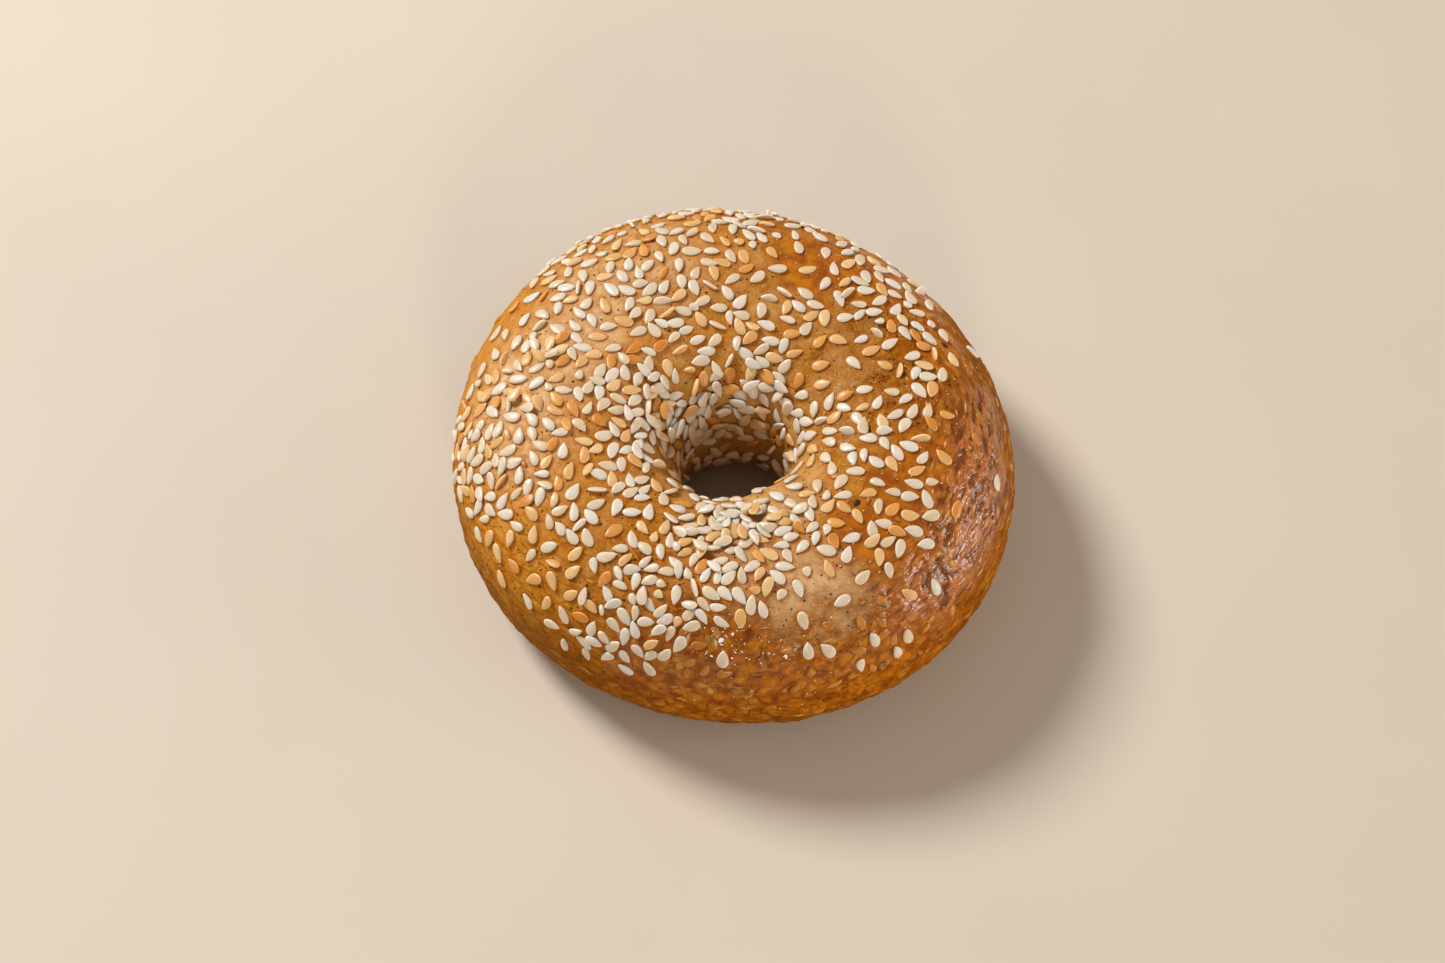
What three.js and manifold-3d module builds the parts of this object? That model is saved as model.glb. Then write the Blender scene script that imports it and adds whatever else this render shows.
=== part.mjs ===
// A sesame bagel: one ring of baked dough with the largest of its seeds stuck on, joined into one solid.
// Millimetres, +Z up. It stands on its flat base at z = 0, with the origin under the middle of its outline.
// "Turn" is the angle round the hole, from +X towards +Y. "Roll" is the angle round the dough itself:
// 0 at the outer side, 90 on the crest, 180 in the hole and 270 on the base. Both are in degrees.
import * as THREE from "three";
import { ConvexGeometry } from "three/addons/geometries/ConvexGeometry.js";
import { ParametricGeometry } from "three/addons/geometries/ParametricGeometry.js";
import { mergeVertices } from "three/addons/utils/BufferGeometryUtils.js";
import Module from "manifold-3d";

// Driving dimensions of the ring.
const OUTER_RADIUS = 53.9;
const CREST_RADIUS = 32.5;
const HOLE_RADIUS = 9.9;
const HEIGHT = 37;
const OUTER_WAIST = 15; // height at which the outer side is widest
const INNER_WAIST = 14; // height at which the hole is narrowest
const BASE_SINK = 1.5; // depth of the section that the flat base cuts off
const HOLE_OFFSET = new THREE.Vector2(0.5, -5.5);
const OUTLINE_OFFSET = new THREE.Vector2(-0.22, -0.49); // brings the middle of the outline over the origin

// How far the section departs from an ellipse (exponent 2) towards a box, in each quarter.
const BULGE = { topOuter: 2.15, topInner: 2.7, baseOuter: 2.5, baseInner: 2.4 };

// Unevenness of the rolled dough: the share of the radius that a set of lobes adds, and where one points.
const OUTLINE_LOBES = [
  { lobes: 2, share: 0.026, turn: -42 },
  { lobes: 3, share: 0.0096, turn: -19 },
  { lobes: 4, share: 0.003, turn: 25 },
];
const HOLE_LOBES = [{ lobes: 2, share: 0.1, turn: 0 }];
const HEIGHT_LOBES = [
  { lobes: 2, share: 0.008, turn: 150 },
  { lobes: 3, share: 0.006, turn: 200 },
];

// Soft swellings and hollows of the crust: place, reach and rise.
const LUMPS = [
  { turn: 172, roll: 96, reach: 13, rise: 0.7 },
  { turn: 68, roll: 84, reach: 9, rise: -0.8 },
  { turn: 118, roll: 78, reach: 10, rise: 0.5 },
  { turn: 232, roll: 84, reach: 10, rise: -0.5 },
  { turn: 262, roll: 62, reach: 11, rise: 0.5 },
  { turn: 322, roll: 66, reach: 8, rise: -0.6 },
  { turn: 12, roll: 72, reach: 11, rise: 0.5 },
  { turn: 299, roll: 140, reach: 6.5, rise: 1.8 },
];

// Seeds. The sizes are ranges that each seed draws from.
const SEED_COUNT = 255;
const SEED_LENGTH = [3.3, 3.9];
const SEED_SLIMNESS = [0.52, 0.6]; // width over length
const SEED_THICKNESS = 1.0;
const SEED_TAPER = 0.28; // how much slimmer the tip is than the blunt end
const SEED_RIDGE = 0.45; // half length of the ridge, as a share of the seed's
const SEED_RIM_CORNERS = 5;
const SEED_LIFT = 0.15; // height of a seed's middle over the crust
const SEED_SPACING = 3.9;
const SEED_ROLLS = [12, 174];

// The lowest roll at which seeds still lie, all the way round: [turn, roll].
const SEED_LINE = [
  [0, 66], [20, 54], [40, 36], [60, 28], [100, 26], [130, 24], [150, 30], [165, 34], [180, 8],
  [200, 14], [222, 12], [245, 7], [254, 16], [263, 54], [282, 57], [300, 48], [322, 56], [345, 68],
];
const SEED_LINE_FADE = 16; // degrees over which they thin out

// Where the seeds lie thinner (below 0) or thicker (above 0) than on the rest of the crust.
const SEED_PATCHES = [
  { turn: 70, roll: 82, reach: 9, change: -0.85 },
  { turn: 28, roll: 106, reach: 6, change: -0.5 },
  { turn: 62, roll: 114, reach: 10, change: -0.35 },
  { turn: 172, roll: 96, reach: 9, change: -0.35 },
  { turn: 231, roll: 88, reach: 7, change: -0.45 },
  { turn: 295, roll: 68, reach: 8, change: -0.85 },
  { turn: 330, roll: 92, reach: 7, change: -0.35 },
  { turn: 190, roll: 88, reach: 7, change: 0.3 },
  { turn: 274, roll: 102, reach: 12, change: 0.7 },
  { turn: 186, roll: 40, reach: 7, change: 0.4 },
  { turn: 248, roll: 55, reach: 8, change: 0.35 },
  { turn: 351, roll: 100, reach: 8, change: 0.35 },
  { turn: 45, roll: 76, reach: 8, change: 0.35 },
];

// Single seeds that fell below the seed line: [turn, roll, heading].
const STRAY_SEEDS = [
  [268, 39, 90], [286, 40, 88], [290, 38, 120], [300, 34, 98], [296, 22, 265], [304, 19, 95],
  [307, 25, 93], [311, 46, 125], [317, 39, 82], [322, 59, 140], [334, 56, 12], [346, 37, 20],
  [16, 61, 5], [20, 38, 60], [24, 57, 170], [34, 50, 140],
];

const CRUST_DENSITY = 0.5; // share of the densest cover
const RIM_DENSITY = { roll: 138, spread: 26, gain: 0.5 };
const RANDOM_SEED = 2417;

// Facets.
const TURN_STEPS = 60;
const ROLL_STEPS = 24;

// Finish of the crust.
const CRUST_COLOUR = 0xb9803f;
const CRUST_ROUGHNESS = 0.5;

const radians = THREE.MathUtils.degToRad;
const signedPower = (x, power) => Math.sign(x) * Math.abs(x) ** power;
const bell = (x) => Math.exp(-x * x);

function lobed(radius, lobeSets, turn) {
  let share = 1;
  for (const set of lobeSets) share += set.share * Math.cos(set.lobes * radians(turn - set.turn));
  return radius * share;
}

// The ring before its lumps.
function smoothRing(turn, roll) {
  const across = Math.cos(radians(roll));
  const up = Math.sin(radians(roll));
  const outer = across > 0;
  const top = up > 0;
  const bulge = BULGE[(top ? "top" : "base") + (outer ? "Outer" : "Inner")];
  const outerRadius = lobed(OUTER_RADIUS, OUTLINE_LOBES, turn);
  const holeRadius = lobed(HOLE_RADIUS, HOLE_LOBES, turn);
  const reach = outer ? outerRadius - CREST_RADIUS : CREST_RADIUS - holeRadius;
  const radius = CREST_RADIUS + reach * signedPower(across, 2 / bulge);
  const waist = outer ? OUTER_WAIST : INNER_WAIST;
  const rise = top ? lobed(HEIGHT, HEIGHT_LOBES, turn) - waist : waist + BASE_SINK;
  const z = Math.max(0, waist + rise * signedPower(up, 2 / bulge));
  const towardsHole = THREE.MathUtils.clamp((outerRadius - radius) / (outerRadius - holeRadius), 0, 1);
  return new THREE.Vector3(
    radius * Math.cos(radians(turn)) + HOLE_OFFSET.x * towardsHole + OUTLINE_OFFSET.x,
    radius * Math.sin(radians(turn)) + HOLE_OFFSET.y * towardsHole + OUTLINE_OFFSET.y,
    z,
  );
}

function normalOf(surface, turn, roll) {
  const step = 0.5;
  const along = surface(turn + step, roll).sub(surface(turn - step, roll));
  const round = surface(turn, roll + step).sub(surface(turn, roll - step));
  return along.cross(round).normalize();
}

const lumpCentres = LUMPS.map((lump) => smoothRing(lump.turn, lump.roll));

function crust(turn, roll) {
  const point = smoothRing(turn, roll);
  let rise = 0;
  LUMPS.forEach((lump, i) => {
    rise += lump.rise * bell(point.distanceTo(lumpCentres[i]) / lump.reach);
  });
  return point.addScaledVector(normalOf(smoothRing, turn, roll), point.z > 0 ? rise : 0);
}

// A small repeatable random number generator (mulberry32): each call gives the next number from 0 to 1.
function randomNumbers(seed) {
  let state = seed;
  return () => {
    state = (state + 0x6d2b79f5) | 0;
    let mixed = Math.imul(state ^ (state >>> 15), state | 1);
    mixed = (mixed + Math.imul(mixed ^ (mixed >>> 7), mixed | 61)) ^ mixed;
    return ((mixed ^ (mixed >>> 14)) >>> 0) / 4294967296;
  };
}

// The seed line at a turn, eased between its named places.
function seedLine(turn) {
  const last = SEED_LINE[SEED_LINE.length - 1];
  let [fromTurn, fromRoll] = [last[0] - 360, last[1]];
  for (const [toTurn, toRoll] of [...SEED_LINE, [360, SEED_LINE[0][1]]]) {
    if (turn <= toTurn) {
      const ease = 0.5 - 0.5 * Math.cos((Math.PI * (turn - fromTurn)) / (toTurn - fromTurn));
      return fromRoll + (toRoll - fromRoll) * ease;
    }
    [fromTurn, fromRoll] = [toTurn, toRoll];
  }
  return fromRoll;
}

const patchCentres = SEED_PATCHES.map((patch) => smoothRing(patch.turn, patch.roll));

// How thickly seeds lie at a place, from 0 to 1.
function seedDensity(turn, roll, point) {
  const onCrust = THREE.MathUtils.clamp((roll - seedLine(turn)) / SEED_LINE_FADE, 0, 1);
  const rim = RIM_DENSITY.gain * bell((roll - RIM_DENSITY.roll) / RIM_DENSITY.spread);
  let density = CRUST_DENSITY + rim;
  SEED_PATCHES.forEach((patch, i) => {
    density *= 1 + patch.change * bell(point.distanceTo(patchCentres[i]) / patch.reach);
  });
  return THREE.MathUtils.clamp(density * onCrust, 0, 1);
}

const between = ([low, high], share) => low + (high - low) * share;

// The places of the largest seeds: the strays, then wherever chance puts one clear of the rest.
function seedSpots() {
  const draw = randomNumbers(RANDOM_SEED);
  const seedAt = (turn, roll, heading) => {
    const length = between(SEED_LENGTH, draw());
    const width = length * between(SEED_SLIMNESS, draw());
    return { turn, roll, heading, length, width, point: crust(turn, roll) };
  };
  const spots = STRAY_SEEDS.map(([turn, roll, heading]) => seedAt(turn, roll, heading));
  while (spots.length < SEED_COUNT) {
    const spot = seedAt(360 * draw(), between(SEED_ROLLS, draw()), 360 * draw());
    const roomThere = Math.hypot(spot.point.x, spot.point.y) / OUTER_RADIUS;
    const wanted = draw() < seedDensity(spot.turn, spot.roll, spot.point) * roomThere;
    const clear = spots.every((other) => other.point.distanceTo(spot.point) > SEED_SPACING);
    if (wanted && clear) spots.push(spot);
  }
  return spots;
}

function doughRing() {
  const place = (u, v, target) => target.copy(crust(360 * u, 360 * v));
  return new ParametricGeometry(place, TURN_STEPS, ROLL_STEPS);
}

// One seed: a flat drop that lies on the crust, its length along its heading. Its corners are a
// drop-shaped rim and a short ridge above and below it.
function sesameSeed(spot) {
  const corners = [];
  for (let i = 0; i < SEED_RIM_CORNERS; i++) {
    const angle = (2 * Math.PI * i) / SEED_RIM_CORNERS;
    const taper = 1 - SEED_TAPER * Math.cos(angle);
    corners.push(new THREE.Vector3(Math.cos(angle), Math.sin(angle) * taper, 0));
  }
  for (const end of [-SEED_RIDGE, SEED_RIDGE]) {
    corners.push(new THREE.Vector3(end, 0, 1), new THREE.Vector3(end, 0, -1));
  }
  const seed = new ConvexGeometry(corners);
  seed.scale(spot.length / 2, spot.width / 2, SEED_THICKNESS / 2);
  const normal = normalOf(crust, spot.turn, spot.roll);
  const round = crust(spot.turn + 1, spot.roll).sub(spot.point);
  const along = round.addScaledVector(normal, -round.dot(normal)).normalize();
  along.applyAxisAngle(normal, radians(spot.heading));
  const across = normal.clone().cross(along);
  const place = new THREE.Matrix4().makeBasis(along, across, normal);
  place.setPosition(spot.point.clone().addScaledVector(normal, SEED_LIFT));
  return seed.applyMatrix4(place);
}

const wasm = await Module();
wasm.setup();

function solidOf(geometry) {
  geometry.deleteAttribute("normal");
  geometry.deleteAttribute("uv");
  const merged = mergeVertices(geometry, 1e-3);
  return new wasm.Manifold(
    new wasm.Mesh({
      numProp: 3,
      vertProperties: merged.getAttribute("position").array,
      triVerts: new Uint32Array(merged.index.array),
    }),
  );
}

function geometryOf(solid) {
  const mesh = solid.getMesh();
  const geometry = new THREE.BufferGeometry();
  geometry.setAttribute("position", new THREE.BufferAttribute(mesh.vertProperties, mesh.numProp));
  geometry.setIndex(new THREE.BufferAttribute(mesh.triVerts, 1));
  geometry.computeVertexNormals();
  return geometry;
}

function bagel() {
  const seeds = seedSpots().map((spot) => solidOf(sesameSeed(spot)));
  const whole = wasm.Manifold.union([solidOf(doughRing()), ...seeds]);
  const bakedCrust = new THREE.MeshStandardMaterial({
    color: CRUST_COLOUR,
    roughness: CRUST_ROUGHNESS,
    metalness: 0,
  });
  const mesh = new THREE.Mesh(geometryOf(whole), bakedCrust);
  mesh.name = "bagel";
  return mesh;
}

const part = new THREE.Group();
part.add(bagel());
export default part;
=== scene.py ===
# A sesame bagel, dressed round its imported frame: the dough with its baked crust, and every seed on it.
# Lengths are in millimetres, and MM turns them into metres where a mesh is made. "Turn" is the angle
# round the hole, from +X towards +Y. "Roll" is the angle round the dough itself: 0 at the outer side,
# 90 on the crest, 180 in the hole and 270 on the base. Both are in degrees.
import math
import random
from types import SimpleNamespace

import bpy
import numpy as np
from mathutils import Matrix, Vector, kdtree, noise


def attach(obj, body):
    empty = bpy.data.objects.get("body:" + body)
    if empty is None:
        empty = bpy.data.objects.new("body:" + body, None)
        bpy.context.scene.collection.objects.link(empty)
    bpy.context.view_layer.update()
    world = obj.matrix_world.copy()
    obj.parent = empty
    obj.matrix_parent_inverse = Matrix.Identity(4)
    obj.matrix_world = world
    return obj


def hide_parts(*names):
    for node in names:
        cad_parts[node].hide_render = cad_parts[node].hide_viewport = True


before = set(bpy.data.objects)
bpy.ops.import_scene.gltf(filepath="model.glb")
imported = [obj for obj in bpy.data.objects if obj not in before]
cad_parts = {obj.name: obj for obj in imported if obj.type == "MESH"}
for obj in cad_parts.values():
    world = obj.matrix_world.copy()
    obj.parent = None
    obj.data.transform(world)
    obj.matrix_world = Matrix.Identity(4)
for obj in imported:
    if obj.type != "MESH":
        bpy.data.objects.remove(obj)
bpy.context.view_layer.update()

MM = 0.001

# Driving dimensions of the ring, as in the frame.
OUTER_RADIUS = 53.9
CREST_RADIUS = 32.5
HOLE_RADIUS = 9.9
HEIGHT = 37
OUTER_WAIST = 15
INNER_WAIST = 14
BASE_SINK = 1.5
HOLE_OFFSET = (0.5, -5.5)
OUTLINE_OFFSET = (-0.22, -0.49)

# How far the section departs from an ellipse, which is 2, towards a box: outer and inner side.
TOP_BULGE = (2.15, 2.7)
BASE_BULGE = (2.5, 2.4)

# Unevenness of the rolled dough: number of lobes, share of the radius, and where a lobe points.
OUTLINE_LOBES = [(2, 0.026, -42), (3, 0.0096, -19), (4, 0.003, 25)]
HOLE_LOBES = [(2, 0.1, 0)]
HEIGHT_LOBES = [(2, 0.008, 150), (3, 0.006, 200)]

# Soft swellings and hollows of the crust: turn, roll, reach, rise.
LUMPS = [
    (172, 96, 13, 0.7), (68, 84, 9, -0.8), (118, 78, 10, 0.5), (232, 84, 10, -0.5),
    (262, 62, 11, 0.5), (322, 66, 8, -0.6), (12, 72, 11, 0.5), (299, 140, 6.5, 1.8),
]

# Rows of the dough's mesh, in bands: first roll, last roll, rows, points in a row.
BANDS = [(-26, 64, 90, 760), (64, 120, 46, 430), (120, 200, 44, 180), (200, 334, 10, 240)]
FRONT = (285, 0.28)  # the turn where the points of a row lie closest, and how much closer

# Seeds that are also in the frame.
FRAME_SEEDS = 255
SEED_LENGTH = (3.3, 3.9)
SEED_SLIMNESS = (0.52, 0.6)
SEED_SPACING = 3.9
SEED_ROLLS = (12, 174)
FRAME_TRIES = 9000
RANDOM_SEED = 2417

# The rest of the seeds.
FILL_LENGTH = (3.0, 3.9)
FILL_SLIMNESS = (0.47, 0.6)
SHORT_LENGTH = (1.9, 2.5)  # of the few short ones
SHORT_WIDTH = 1.6
SEED_THICKNESS = 0.95
FILL_THICKNESS = (0.8, 1.1)  # as a share of that
FILL_COVER = 0.35
FILL_SPACING = 1.37  # the least gap between middles, times the root of the cover
FILL_GAPS = (0.9, 1.5)  # how far that gap varies
INSIDE_ROLLS = (142, 170)
INSIDE_THINNING = 0.6
DEEP_ROLLS = (166, 206)  # of the seeds that fell into the hole

# The lowest roll at which seeds still lie, all the way round: turn, roll.
SEED_LINE = [
    (0, 66), (20, 54), (40, 36), (60, 28), (100, 26), (130, 24), (150, 30), (165, 34), (180, 8),
    (200, 14), (222, 12), (245, 7), (254, 16), (263, 54), (282, 57), (300, 48), (322, 56), (345, 68),
]
SEED_LINE_FADE = 16

# Where the seeds lie thinner (below 0) or thicker (above 0): turn, roll, reach, change.
SEED_PATCHES = [
    (70, 82, 9, -0.85), (28, 106, 6, -0.5), (62, 114, 10, -0.35), (172, 96, 9, -0.35), (231, 88, 7, -0.45),
    (295, 68, 8, -0.85), (330, 92, 7, -0.35), (190, 88, 7, 0.3), (274, 102, 12, 0.7),
    (186, 40, 7, 0.4), (248, 55, 8, 0.35), (351, 100, 8, 0.35), (45, 76, 8, 0.35),
]

# Single seeds that fell below the seed line: turn, roll, heading.
STRAY_SEEDS = [
    (268, 39, 90), (286, 40, 88), (290, 38, 120), (300, 34, 98), (296, 22, 265), (304, 19, 95),
    (307, 25, 93), (311, 46, 125), (317, 39, 82), (322, 59, 140), (334, 56, 12), (346, 37, 20),
    (16, 61, 5), (20, 38, 60), (24, 57, 170), (34, 50, 140),
]
CRUST_DENSITY = 0.5
RIM_DENSITY = (138, 26, 0.5)  # roll, spread, gain


def cos(degrees):
    return np.cos(np.radians(degrees))


def sin(degrees):
    return np.sin(np.radians(degrees))


def between(ends, share):
    return ends[0] + (ends[1] - ends[0]) * share


def lobed(radius, lobe_sets, turn):
    share = 1.0
    for lobes, part, at in lobe_sets:
        share = share + part * cos(lobes * (turn - at))
    return radius * share


def signed_power(x, power):
    return np.sign(x) * np.abs(x) ** power


def bell(x):
    return np.exp(-x * x)


def distance(points, place):
    return np.linalg.norm(points - place, axis=-1)


def smooth_ring(turn, roll):
    """The ring before its lumps, as points in millimetres."""
    across, up = cos(roll), sin(roll)
    outer = across > 0
    top = up > 0
    bulge = np.where(top, np.where(outer, *TOP_BULGE), np.where(outer, *BASE_BULGE))
    outer_radius = lobed(OUTER_RADIUS, OUTLINE_LOBES, turn)
    hole_radius = lobed(HOLE_RADIUS, HOLE_LOBES, turn)
    reach = np.where(outer, outer_radius - CREST_RADIUS, CREST_RADIUS - hole_radius)
    radius = CREST_RADIUS + reach * signed_power(across, 2 / bulge)
    waist = np.where(outer, OUTER_WAIST, INNER_WAIST)
    rise = np.where(top, lobed(HEIGHT, HEIGHT_LOBES, turn) - waist, waist + BASE_SINK)
    z = np.maximum(0, waist + rise * signed_power(up, 2 / bulge))
    towards_hole = np.clip((outer_radius - radius) / (outer_radius - hole_radius), 0, 1)
    x = radius * cos(turn) + HOLE_OFFSET[0] * towards_hole + OUTLINE_OFFSET[0]
    y = radius * sin(turn) + HOLE_OFFSET[1] * towards_hole + OUTLINE_OFFSET[1]
    return np.stack([x, y, z], axis=-1)


def unit(vectors):
    return vectors / np.maximum(np.linalg.norm(vectors, axis=-1, keepdims=True), 1e-12)


def normal_of(surface, turn, roll):
    step = 0.5
    along = surface(turn + step, roll) - surface(turn - step, roll)
    around = surface(turn, roll + step) - surface(turn, roll - step)
    return unit(np.cross(along, around))


def bells(patches, points, uneven=1):
    """For each patch of turn, roll, reach and amount: what it adds at each point."""
    added = []
    for turn, roll, reach, amount in patches:
        gap = distance(points, smooth_ring(turn, roll)) / reach
        added.append(amount * bell(gap * uneven))
    return added


def crust(turn, roll):
    """The ring with its lumps, as in the frame."""
    point = smooth_ring(turn, roll)
    rise = np.where(point[..., 2] > 0, sum(bells(LUMPS, point)), 0)
    return point + normal_of(smooth_ring, turn, roll) * rise[..., None]


def random_numbers(seed):
    """mulberry32, the generator that placed the frame's seeds."""
    mask = 0xFFFFFFFF
    state = seed
    while True:
        state = (state + 0x6D2B79F5) & mask
        mixed = ((state ^ (state >> 15)) * (state | 1)) & mask
        mixed = ((mixed + (((mixed ^ (mixed >> 7)) * (mixed | 61)) & mask)) & mask) ^ mixed
        yield (mixed ^ (mixed >> 14)) / 4294967296


def seed_line(turn):
    turns = [SEED_LINE[-1][0] - 360] + [t for t, _ in SEED_LINE] + [360]
    rolls = [SEED_LINE[-1][1]] + [r for _, r in SEED_LINE] + [SEED_LINE[0][1]]
    place = np.clip(np.searchsorted(turns, turn, side="left"), 1, len(turns) - 1)
    low, high = np.take(turns, place - 1), np.take(turns, place)
    ease = 0.5 - 0.5 * np.cos(np.pi * (turn - low) / (high - low))
    return np.take(rolls, place - 1) * (1 - ease) + np.take(rolls, place) * ease


def patched(density, patches, points):
    """A density that is changed by patches."""
    for change in bells(patches, points):
        density = density * (1 + change)
    return density


def on_seed_side(turn, roll):
    return np.clip((roll - seed_line(turn)) / SEED_LINE_FADE, 0, 1)


def seed_density(turn, roll, points):
    """How thickly the largest seeds lie at each place, from 0 to 1."""
    rim_roll, spread, gain = RIM_DENSITY
    density = CRUST_DENSITY + gain * bell((roll - rim_roll) / spread)
    return np.clip(patched(density, SEED_PATCHES, points) * on_seed_side(turn, roll), 0, 1)


def seed_cover(turn, roll, points):
    """What share of the crust all the seeds hide at each place."""
    inside = np.clip((roll - INSIDE_ROLLS[0]) / (INSIDE_ROLLS[1] - INSIDE_ROLLS[0]), 0, 1)
    cover = FILL_COVER * (1 - INSIDE_THINNING * inside)
    return patched(cover, SEED_PATCHES + FILL_PATCHES, points) * on_seed_side(turn, roll)


def along_ring(turn, roll):
    """At each place: the direction that runs with the turn, the one across it, and the normal."""
    normal = normal_of(crust, turn, roll)
    along = crust(turn + 1, roll) - crust(turn, roll)
    along = unit(along - normal * np.sum(along * normal, axis=-1, keepdims=True))
    return along, np.cross(normal, along), normal


# Seeds.

SEED_POINTEDNESS = (0.3, 0.85)
SEED_FULLNESS = 2.4  # exponent of the section: 2 is a lens
SEED_SINK = 0.12  # how far a seed's underside lies in the crust

# The points of a seed: how many in a ring, and for each ring its share of the outline and its side.
SEED_AROUND = 18
SEED_RINGS = [(0.55, 1), (0.8, 1), (0.92, 1), (1.0, 0), (0.86, -1), (0.5, -1)]
FACE_DIP = 0.06  # how much lower than its rim a seed's face lies, as a share of half the thickness
UPRIGHT_SHARE = 0.1
SHORT_SHARE = 0.06
STACKED_SHARE = 0.1  # of the seeds that would lie on others, how many may
MOST_COVERED = 0.6  # how much of such a seed may lie over others
LEAST_COVERED = 0.1  # and of any other seed

# Where seeds lie on top of each other: turn, roll, reach, share.
PILES = [
    (287, 122, 9, 1.0), (262, 118, 7, 0.8), (306, 130, 6, 1.0), (240, 124, 6, 0.5), (200, 132, 8, 0.5),
    (165, 135, 8, 0.5), (186, 40, 6, 0.4), (150, 60, 8, 0.3), (110, 70, 8, 0.3),
]

# Where the rest of the seeds lie thinner or thicker than the largest ones: turn, roll, reach, change.
FILL_PATCHES = [
    (220, 22, 12, -0.6), (150, 35, 10, -0.6), (160, 36, 8, -0.6), (20, 105, 6, -0.5), (45, 115, 6, -0.5),
    (118, 122, 5, -0.8), (320, 125, 7, -0.5), (222, 142, 5, -0.7), (308, 142, 7, -0.6), (340, 150, 8, -0.5),
    (272, 142, 8, -0.7), (200, 156, 8, -0.3), (265, 106, 10, 0.9), (285, 103, 8, 0.5), (300, 104, 7, 0.4),
    (262, 74, 7, 0.9), (240, 74, 6, 0.5), (195, 120, 7, 0.4), (130, 108, 7, 0.7), (85, 55, 7, 0.5),
    (185, 35, 7, 0.4), (80, 142, 10, 0.9), (110, 136, 7, 0.5), (150, 150, 8, 0.5), (165, 134, 8, 0.6),
    (165, 110, 7, 0.9), (165, 76, 9, 0.8), (62, 105, 6, 0.8), (358, 106, 7, 0.3), (75, 160, 9, 2.6),
    (120, 160, 8, 2.2), (98, 156, 8, 1.6), (90, 182, 9, 1.8), (55, 176, 8, 1.0), (130, 178, 8, 1.2),
]
FILL_TRIES = 30000
DEEP_TRIES = 4000
LEAST_COVER = 0.03
HEADINGS_TRIED = 4
UPRIGHT_LEAN = (50, 85)
UPRIGHT_SINK = 0.25  # as a share of the width
TILT_COST = 0.35  # how much higher a seed may rest to lie flatter
BEND = (-0.22, 0.22)
ARCH = (-0.12, 0.16)


def seed_width(x, pointed):
    """Half width of a seed of unit half length and width at x, with its tip at x = 1."""
    widest = -0.5 * pointed / (1 + 0.5 * pointed)
    most = math.sqrt(1 - widest**2) * ((1 - widest) / 2) ** (pointed / 2)
    return np.sqrt(np.clip(1 - x * x, 0, 1)) * (np.clip(1 - x, 0, 2) / 2) ** (pointed / 2) / most


def seed_height(x, y, pointed):
    """Half thickness, as a share of the most, at x and y in shares of half length and half width."""
    inner = np.clip(np.abs(x), 0, 0.999)
    round_width = seed_width(np.sign(x) * inner, pointed) / np.sqrt(1 - inner**2)
    from_middle = np.sqrt(x * x + (y / round_width) ** 2)
    return np.clip(1 - from_middle**SEED_FULLNESS, 0, 1) ** (1 / SEED_FULLNESS)


def spots(turns, rolls):
    """Places on the uneven crust, and at each the direction along the ring, across it and outwards."""
    axes = np.stack(along_ring(turns, rolls), axis=1)
    return crust(turns, rolls) + axes[:, 2] * relief(turns, rolls)[:, None], axes


def spun(one, two, angle):
    """Two directions, turned in their own plane, the first towards the second, by radians."""
    cosine, sine = math.cos(angle), math.sin(angle)
    return one * cosine + two * sine, two * cosine - one * sine


def new_seed(point, axes, heading, length, width, thickness, pointed):
    """A seed that lies flat on the crust."""
    along, across, normal = axes
    flat = np.stack([*spun(along, across, math.radians(heading)), normal])
    return {
        "point": point, "axes": flat, "ground": normal, "length": length, "width": width,
        "thickness": thickness, "pointed": pointed, "stacked": False, "foot": (flat[:2], length, width),
    }


def turned(axes, pitch, lean):
    """The axes with the tip raised by pitch and the far side raised by lean, in radians."""
    along, across, normal = axes
    tip, normal = spun(along, normal, pitch)
    side, normal = spun(across, normal, lean)
    return np.stack([tip, side, normal])


SAMPLE_X, SAMPLE_Y = (g.ravel() for g in np.meshgrid([-0.9, -0.5, 0, 0.5, 0.9], [-0.8, 0, 0.8]))
TILTS = [math.tan(math.radians(a)) for a in (-30, -22, -15, -8, 0, 8, 15, 22, 30)]
TILT_X, TILT_Y = (g.ravel() for g in np.meshgrid(TILTS, TILTS))
NEIGHBOUR_REACH = 4.2


def under_points(seed):
    """Places under a seed that is laid flat on the crust, and its samples in its own axes."""
    xs = SAMPLE_X * seed["length"] / 2
    ys = SAMPLE_Y * seed_width(SAMPLE_X, seed["pointed"]) * seed["width"] / 2
    along, across, _ = seed["axes"]
    return seed["point"] + xs[:, None] * along + ys[:, None] * across, xs, ys


def height_over(other, places):
    """For each place: how high a laid seed stands there over its own middle plane, or 0 outside it."""
    local = (places - other["middle"]) @ other["axes"].T
    along = local[:, 0] / (other["length"] / 2)
    across = local[:, 1] / (other["width"] / 2)
    return seed_height(along, across, other["pointed"]) * other["thickness"] / 2, local


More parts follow.
